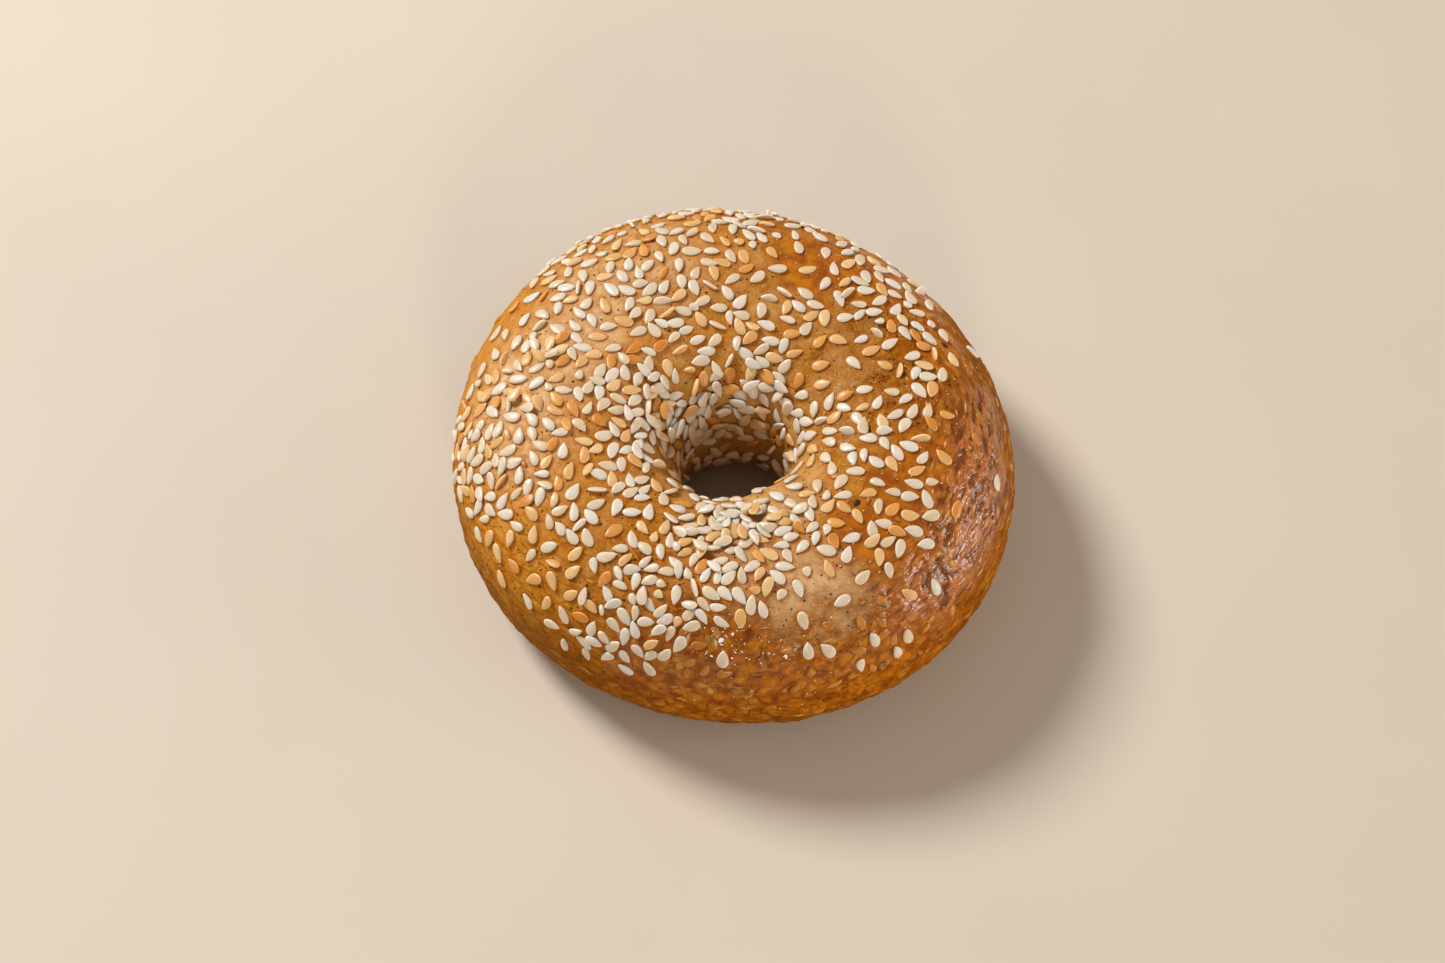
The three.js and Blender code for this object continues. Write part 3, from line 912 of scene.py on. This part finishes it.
class Shader:
    """Short forms for the nodes of one material."""

    def __init__(self, name):
        self.material = bpy.data.materials.new(name)
        self.material.use_nodes = True
        self.tree = self.material.node_tree
        self.surface = self.tree.nodes["Principled BSDF"]

    def node(self, kind, inputs=None, **settings):
        node = self.tree.nodes.new(kind)
        for key, value in settings.items():
            setattr(node, key, value)
        for key, value in (inputs or {}).items():
            self.feed(node.inputs[key], value)
        return node

    def feed(self, socket, value):
        if isinstance(value, bpy.types.NodeSocket):
            self.tree.links.new(value, socket)
        else:
            socket.default_value = value

    def set(self, name, value):
        self.feed(self.surface.inputs[name], value)

    def value(self, name):
        return self.node("ShaderNodeAttribute", attribute_name=name).outputs["Fac"]

    def vector(self, name):
        return self.node("ShaderNodeAttribute", attribute_name=name).outputs["Vector"]

    def place(self):
        return self.node("ShaderNodeTexCoord").outputs["Object"]

    def math(self, operation, a, b=0.0, clamp=False):
        node = self.node("ShaderNodeMath", {0: a, 1: b}, operation=operation)
        node.use_clamp = clamp
        return node.outputs[0]

    def times(self, a, b):
        return self.math("MULTIPLY", a, b)

    def most(self, a, b):
        return self.math("MAXIMUM", a, b)

    def rest_of(self, a):
        return self.math("SUBTRACT", 1, a, clamp=True)

    def vectors(self, operation, a, b, second=1):
        return self.node("ShaderNodeVectorMath", {0: a, second: b}, operation=operation).outputs[0]

    def warped(self, where, size, reach):
        """The place shifted by up to half of reach, unevenly, so that patterns on it look grown."""
        inputs = {"Vector": where, "Scale": 1 / (size * MM), "Detail": 2.0}
        shift = self.node("ShaderNodeTexNoise", inputs).outputs["Color"]
        centred = self.vectors("SUBTRACT", shift, (0.5, 0.5, 0.5))
        return self.vectors("ADD", where, self.vectors("SCALE", centred, reach * MM, 3))

    def noise(self, where, size, detail=2.0, roughness=0.5):
        """Noise from 0 to 1, with features of the given size in millimetres."""
        inputs = {"Vector": where, "Scale": 1 / (size * MM), "Detail": detail, "Roughness": roughness}
        return self.node("ShaderNodeTexNoise", inputs).outputs["Fac"]

    def cells(self, where, size, feature="F1"):
        inputs = {"Vector": where, "Scale": 1 / (size * MM)}
        return self.node("ShaderNodeTexVoronoi", inputs, feature=feature)

    def ramp(self, value, low, high, to_low=0.0, to_high=1.0):
        """Takes low..high smoothly to to_low..to_high."""
        inputs = {"Value": value, "From Min": low, "From Max": high, "To Min": to_low, "To Max": to_high}
        node = self.node("ShaderNodeMapRange", inputs, interpolation_type="SMOOTHSTEP")
        return node.outputs["Result"]

    def roll_ramp(self, low, high, to_low=0.0, to_high=1.0):
        """A ramp over the angle round the dough, from the middle of the base outwards, in degrees."""
        return self.ramp(self.value("roll"), math.radians(low), math.radians(high), to_low, to_high)

    def mix(self, factor, a, b):
        return self.node("ShaderNodeMix", {0: factor, 6: a, 7: b}, data_type="RGBA").outputs[2]

    def painted(self, tone, layers):
        """The tone under layers, each with its share and its colour."""
        for share, paint in layers:
            tone = self.mix(share, tone, paint)
        return tone

    def ridges(self, where, size, sharpness=3.0):
        """Sharp winding ridges, from 0 in the furrows to 1."""
        away = self.math("ABSOLUTE", self.math("SUBTRACT", self.noise(where, size, 1.0, 0.5), 0.5))
        return self.rest_of(self.times(away, sharpness))

    def chosen(self, cells, share):
        """1 in a share of the cells, and 0 in the others."""
        return self.ramp(cells.outputs["Color"], share - 0.02, share + 0.02, 1, 0)

    def pebbles(self, where, size, share):
        """Irregular flat pebbles in a share of the cells of a size, and the thin lines between cells."""
        edge = self.cells(where, size, "DISTANCE_TO_EDGE").outputs["Distance"]
        chosen = self.chosen(self.cells(where, size), share)
        return self.times(self.ramp(edge, 0.05, 0.2), chosen), self.ramp(edge, 0.01, 0.07, 1, 0)

    def dots(self, where, size, radii, share):
        """Round dots in a share of the cells of the given size, 1 in the middle."""
        cells = self.cells(where, size)
        return self.times(self.ramp(cells.outputs["Distance"], *radii, 1, 0), self.chosen(cells, share))

    def bump(self, layers, under=None):
        """A bump made of layers, each with its height from 0 to 1 and its depth in millimetres."""
        total = 0.0
        for height, depth in layers:
            total = self.math("ADD", total, self.times(height, depth))
        inputs = {"Height": total, "Distance": MM, "Strength": 1.0}
        if under is not None:
            inputs["Normal"] = under
        return self.node("ShaderNodeBump", inputs).outputs["Normal"]


def colour(red, green, blue):
    """A colour from its sRGB values, 0 to 255."""
    channels = []
    for c in (red, green, blue):
        c = c / 255
        channels.append(c / 12.92 if c <= 0.04045 else ((c + 0.055) / 1.055) ** 2.4)
    return (*channels, 1)


PALE_COLOUR = colour(232, 194, 146)
WHEAT = colour(204, 155, 92)
WHEAT_DARK = colour(176, 116, 40)
INNER = colour(204, 158, 82)
# Painted shade for the wall deep in the hole.
INNER_DEEP_SHADE = colour(158, 116, 56)
GOLD = colour(196, 121, 14)
GOLD_PALE = colour(209, 145, 52)
AMBER_COLOUR = colour(194, 115, 6)
AMBER_DEEP = colour(146, 70, 0)
BROWN_COLOUR = colour(116, 54, 0)
SKIN_COLOUR = colour(164, 82, 4)
# Painted shade for the furrows of the skin's folds.
SKIN_FURROW_SHADE = colour(96, 42, 0)
LOW_COLOUR = colour(114, 58, 0)
SCALE_COLOUR = colour(204, 140, 44)
# Pale crests of the skin's folds: partly paler dry skin, partly a painted sheen.
CREST_SHEEN_COLOUR = colour(228, 160, 106)
STREAK_COLOUR = colour(238, 192, 112)
LUMP_COLOUR = colour(204, 142, 56)
# Dark lines between pebbles and flecks, and painted shade in the hollows between lumps of glaze.
LINE_AND_VALLEY_SHADE_COLOUR = colour(118, 54, 0)
PORE_COLOUR = colour(66, 34, 12)
# Pooled glaze round the seeds, with painted contact shade.
GLAZE_SHADE_HALO_COLOUR = colour(178, 98, 8)
FIBRE_COLOUR = colour(222, 180, 120)
BASE_COLOUR = colour(152, 92, 32)


def crust_colour(s, where, warped, swept, m):
    """The crust's colour, from the pale top to the amber and brown of its sides."""
    pale, folds = s.value("pale"), s.value("folds")
    side = s.times(s.roll_ramp(118, 172, 1, 0), s.ramp(pale, 0, 1, 1, 0.2))
    clouds = s.noise(where, 6, 3, 0.6)
    mottle = s.noise(warped, 1.6, 3, 0.6)
    fibre = s.noise(swept, 0.9, 4, 0.65)
    wheat = s.mix(s.times(s.ramp(clouds, 0.38, 0.62), s.ramp(pale, 0, 1, 1, 0.5)), WHEAT, WHEAT_DARK)
    gold = s.mix(s.ramp(fibre, 0.35, 0.65), GOLD, GOLD_PALE)
    gold = s.mix(s.roll_ramp(85, 125, 0.75, 0), gold, LOW_COLOUR)
    golden = s.times(s.value("golden"), s.ramp(mottle, 0.3, 0.55, 0.55, 1))
    brown = s.mix(s.ramp(fibre, 0.35, 0.9), BROWN_COLOUR, GOLD)
    amber = s.mix(s.ramp(s.noise(warped, 3.2, 2, 0.5), 0.35, 0.65), AMBER_COLOUR, AMBER_DEEP)
    # Where the lumps of glaze rise least, the crust is darkened: painted shade.
    valley_shade = s.times(m.lumpy, s.ramp(s.value("raised"), 0.05, 0.5, 0.35, 0))
    # The crests of the skin's folds and ridges are painted pale pink: partly paler dry skin, partly a
    # painted sheen.
    crests = s.times(m.crests, s.ramp(folds, 0.5, 0.85, 0.05, 0.55))
    # The furrows of the skin's folds are darkened: painted shade.
    skin = s.mix(crests, s.mix(s.ramp(folds, 0.45, 0.8), SKIN_FURROW_SHADE, SKIN_COLOUR), CREST_SHEEN_COLOUR)
    lines = s.times(s.ridges(warped, 1.1, 26), s.ramp(clouds, 0.35, 0.6, 0.1, 0.4))
    return fibre, mottle, s.painted(wheat, [
        (s.ramp(mottle, 0.45, 0.65, 0, 0.5), WHEAT_DARK),
        (s.times(pale, s.ramp(mottle, 0.35, 0.65, 0.95, 0.55)), PALE_COLOUR),
        # Deeper in the hole the inner wall darkens: painted shade.
        (s.roll_ramp(205, 248, 0, 0.85), s.mix(s.roll_ramp(250, 285), INNER, INNER_DEEP_SHADE)),
        (s.most(golden, s.times(side, 0.95)), gold),
        (s.times(m.brown, 0.9), brown),
        (s.times(m.amber, 0.9), amber),
        (s.times(m.lumpy, 0.85), amber),
        (valley_shade, LINE_AND_VALLEY_SHADE_COLOUR),
        (s.times(m.stones, s.ramp(clouds, 0.4, 0.6, 0.05, 0.5)), LUMP_COLOUR),
        (s.times(m.cracks, s.ramp(mottle, 0.4, 0.65, 0, 0.5)), LINE_AND_VALLEY_SHADE_COLOUR),
        (s.times(m.skin, 0.85), skin),
        # A brown edge round the seeds: pooled glaze with painted contact shade.
        (s.times(s.value("glaze_shade_halo"), 0.62), GLAZE_SHADE_HALO_COLOUR),
        (s.times(s.value("scale"), 0.18), SCALE_COLOUR),
        (s.times(m.flecks, s.ramp(mottle, 0.35, 0.6, 0.1, 0.38)), SCALE_COLOUR),
        (s.times(m.seams, s.ramp(mottle, 0.35, 0.6, 0.5, 0.1)), LINE_AND_VALLEY_SHADE_COLOUR),
        (s.times(m.streaks, 0.8), STREAK_COLOUR),
        (s.times(s.times(lines, s.rest_of(side)), m.dry), FIBRE_COLOUR),
    ])


def crust_material():
    s = Shader("baked_crust")
    where, grain = s.place(), s.vector("grain")
    warped = s.warped(where, 2.5, 1.4)
    swept = s.warped(grain, 2.2, 2.0)
    m = SimpleNamespace(**{name: s.value(name) for name in ("skin", "brown", "scaly")})
    bare = s.ramp(s.value("pale"), 0.35, 0.85, 1, 0.1)
    m.amber = s.times(s.ramp(s.value("amber"), 0.25, 0.7), bare)
    m.lumpy = s.times(s.ramp(s.value("lumpy"), 0.35, 0.8), bare)
    gloss = s.most(s.most(m.amber, m.skin), m.lumpy)
    m.dry = s.rest_of(gloss)
    flecked = s.times(m.scaly, s.ramp(m.lumpy, 0, 0.6, 1, 0.2))
    flecks, seams = s.pebbles(s.warped(grain, 1.4, 0.9), 1.7, 0.4)
    m.flecks = s.times(flecks, flecked)
    m.seams = s.times(seams, flecked)
    stones, cracks = s.pebbles(s.warped(where, 1.6, 1.6), 2.6, 0.45)
    m.stones = s.times(stones, m.lumpy)
    m.cracks = s.times(cracks, m.lumpy)
    m.crests = s.ridges(swept, 0.55, 7)
    drawn_out = s.warped(s.vectors("MULTIPLY", grain, (0.65, 0.65, 1)), 1.1, 0.5)
    streaked = s.times(m.scaly, s.ramp(m.lumpy, 0, 0.8, 1, 0.45))
    streaks = s.dots(drawn_out, 1.1, (0.12, 0.26), 0.5)
    m.streaks = s.times(streaks, s.times(streaked, m.brown))
    fibre, mottle, tone = crust_colour(s, where, warped, swept, m)
    large_pores = s.dots(warped, 1.5, (0.1, 0.18), 0.6)
    small_pores = s.dots(s.warped(where, 1.3, 0.8), 1.0, (0.1, 0.17), 0.42)
    pores = s.times(s.most(large_pores, small_pores), s.ramp(m.dry, 0.3, 0.8, 0.25, 1))
    height = s.node("ShaderNodeSeparateXYZ", {0: where}).outputs[2]
    baked = s.ramp(height, 0.2 * MM, 4.2 * MM, 0.75, 0)
    s.set("Base Color", s.painted(tone, [(s.times(pores, 0.85), PORE_COLOUR), (baked, BASE_COLOUR)]))
    s.set("Roughness", s.math("ADD", s.ramp(gloss, 0, 1, 0.5, 0.32), s.ramp(mottle, 0.3, 0.7, -0.05, 0.06)))
    wrinkles = s.times(m.crests, s.ramp(m.skin, 0.1, 0.6, 0.12, 1))
    creases = s.times(s.ridges(warped, 0.9, 4), s.ramp(m.amber, 0.1, 0.6, 0.3, 1))
    smooth = s.bump([(wrinkles, 0.03), (s.noise(where, 1.6, 1, 0.5), 0.3)])
    matt = s.ramp(gloss, 0.2, 0.9, 1, 0.25)
    layers = [
        (s.times(fibre, matt), 0.26), (s.times(creases, matt), 0.25), (m.flecks, 0.14),
        (m.stones, 0.16), (m.cracks, -0.1), (m.seams, -0.1), (pores, -0.4),
        (m.streaks, 0.12), (s.times(s.noise(where, 0.4, 2, 0.6), matt), 0.12),
    ]
    s.set("Normal", s.bump(layers, smooth))
    s.set("Coat Normal", smooth)
    wet = s.most(m.skin, s.times(s.most(m.amber, m.lumpy), 0.55))
    s.set("Coat Weight", s.times(s.ramp(wet, 0.1, 0.8, 0.04, 1), s.roll_ramp(92, 130, 0.1, 1)))
    s.set("Coat Roughness", 0.1)
    s.set("Coat IOR", 1.5)
    s.set("Specular IOR Level", 0.01)
    s.set("Specular Tint", (1.0, 0.8, 0.55, 1))
    s.set("Subsurface Weight", 0.2)
    s.set("Subsurface Radius", (1.0, 0.5, 0.2))
    s.set("Subsurface Scale", 1.0 * MM)
    return s.material


def seed_material(name, light, dark, rim_colour, roughness=0.32):
    s = Shader(name)
    where, tone, rim = s.place(), s.value("tone"), s.value("rim")
    mottle = s.noise(where, 1.0, 2, 0.5)
    s.set("Base Color", s.painted(s.mix(tone, light, dark), [
        (s.ramp(mottle, 0.4, 0.7, 0, 0.3), dark),
        (s.times(s.ramp(s.value("tip"), 0.5, 1.0, 0, 0.5), tone), dark),
        (s.ramp(rim, 0.4, 0.75, 0, 0.15), dark),
        (s.ramp(rim, 0.8, 0.94, 0, 0.5), rim_colour),
    ]))
    s.set("Roughness", s.ramp(mottle, 0.3, 0.7, roughness - 0.05, roughness + 0.08))
    s.set("Normal", s.bump([(s.noise(where, 0.5, 2), 0.04)]))
    s.set("Specular IOR Level", 0.4)
    s.set("Subsurface Weight", 0.85)
    s.set("Subsurface Radius", (1.0, 0.7, 0.4))
    s.set("Subsurface Scale", 1.1 * MM)
    return s.material


def blob_material(name, light, dark, roughness):
    s = Shader(name)
    mottle = s.noise(s.place(), 0.6, 3, 0.6)
    body = s.mix(s.value("tone"), light, dark)
    s.set("Base Color", s.mix(s.ramp(mottle, 0.35, 0.7, 0, 0.6), body, dark))
    s.set("Roughness", s.ramp(mottle, 0.3, 0.7, roughness - 0.08, roughness + 0.08))
    s.set("Normal", s.bump([(mottle, 0.06)]))
    return s.material


# Each kind of seed: slot, share of all seeds, how hollow a face may be, light and dark body, rim.
SEED_KINDS = {
    "seeds_cream": (
        "seed_cream", 0.72, 0.1, colour(224, 217, 206), colour(215, 194, 162), colour(234, 229, 221),
    ),
    "seeds_golden": (
        "seed_golden", 0.19, 0.2, colour(229, 201, 154), colour(217, 165, 98), colour(241, 216, 174),
    ),
    "seeds_toasted": (
        "seed_toasted", 0.09, 0.35, colour(225, 171, 97), colour(205, 134, 52), colour(235, 189, 124),
    ),
}
GLAZED_TONES = (colour(205, 142, 54), colour(180, 109, 28), colour(212, 155, 76))


def place_bagel():
    seeds = all_seeds()
    glazed = glazed_seeds()
    pieces = [(dough_piece(seeds + glazed, crust_material()), "crust")]
    chance = random.Random(3)
    shares = [kind[1] for kind in SEED_KINDS.values()]
    kinds = [chance.choices(list(SEED_KINDS), shares)[0] for _ in seeds]
    for name, (slot, _, hollow, *tones) in SEED_KINDS.items():
        own = [seed for seed, kind in zip(seeds, kinds) if kind == name]
        pieces.append((seeds_piece(name, own, hollow, seed_material(name, *tones)), slot))
    under = seed_material("seeds_glazed", *GLAZED_TONES, 0.25)
    pieces.append((seeds_piece("seeds_glazed", glazed, 0, under), "seed_glazed"))
    small = [
        ("torn_flakes", scattered(FLAKES), colour(214, 140, 52), colour(176, 94, 22), 0.35, "seed_toasted"),
        ("burnt_specks", scattered(BURNT_SPECKS), colour(46, 28, 16), colour(20, 12, 8), 0.6, "char"),
        # The glaze bubbles are coloured near white: a painted glint on top of their own gloss.
        ("glaze_bubbles", bubbles(), colour(250, 222, 180), colour(226, 174, 104), 0.15, "crust"),
    ]
    for name, blobs, light, dark, roughness, slot in small:
        material = blob_material(name, light, dark, roughness)
        pieces.append((blobs_piece(name, blobs, material), slot))
    for piece, slot in pieces:
        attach(piece, "root")
        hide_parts("bagel")


# Surroundings.

CAMERA_AIM = Vector((-1.97, 3.71, 0)) * MM
CAMERA_DISTANCE = 0.56
CAMERA_ELEVATION = math.radians(60)
CAMERA_LENS = 70
FLOOR_HALF = 1500


def aimed(thing, place, target):
    thing.location = place
    thing.rotation_euler = (Vector(target) - Vector(place)).to_track_quat("-Z", "Y").to_euler()
    bpy.context.scene.collection.objects.link(thing)
    return thing


def place_camera():
    data = bpy.data.cameras.new("camera")
    data.lens = CAMERA_LENS
    data.sensor_width = 36
    back = Vector((0, -math.cos(CAMERA_ELEVATION), math.sin(CAMERA_ELEVATION)))
    camera = bpy.data.objects.new("camera", data)
    bpy.context.scene.camera = aimed(camera, CAMERA_AIM + back * CAMERA_DISTANCE, CAMERA_AIM)


def area_light(name, place, size, power, tint):
    data = bpy.data.lights.new(name, "AREA")
    data.shape = "ELLIPSE"
    data.size, data.size_y = size
    data.energy = power
    data.color = tint
    aimed(bpy.data.objects.new(name, data), place, (0, 0, 0.02))


def place_lights():
    area_light("key", (-0.75, 0.6, 0.95), (0.4, 0.4), 18.5, (1.0, 0.985, 0.98))
    area_light("window", (1.08, -0.2, 0.2), (1.0, 0.32), 7, (1.0, 0.91, 0.85))
    area_light("front", (0.12, -0.98, 0.44), (0.22, 0.16), 2.8, (1.0, 0.95, 0.9))
    world = bpy.data.worlds.new("studio")
    world.use_nodes = True
    background = world.node_tree.nodes["Background"]
    background.inputs["Color"].default_value = (1.0, 0.89, 0.76, 1)
    background.inputs["Strength"].default_value = 0.27
    bpy.context.scene.world = world


def place_floor():
    s = Shader("pale_floor")
    patchy = s.noise(s.place(), 60, 3)
    s.set("Base Color", s.mix(patchy, colour(205, 193, 175), colour(212, 201, 184)))
    s.set("Roughness", 0.7)
    x = y = FLOOR_HALF
    corners = [(-x, -y, 0), (x, -y, 0), (x, y, 0), (-x, y, 0)]
    mesh_object("floor", corners, [(0, 1, 2, 3)], {}, s.material, smooth=False)


place_bagel()
place_floor()
place_lights()
place_camera()
bpy.context.scene.view_settings.view_transform = "Standard"
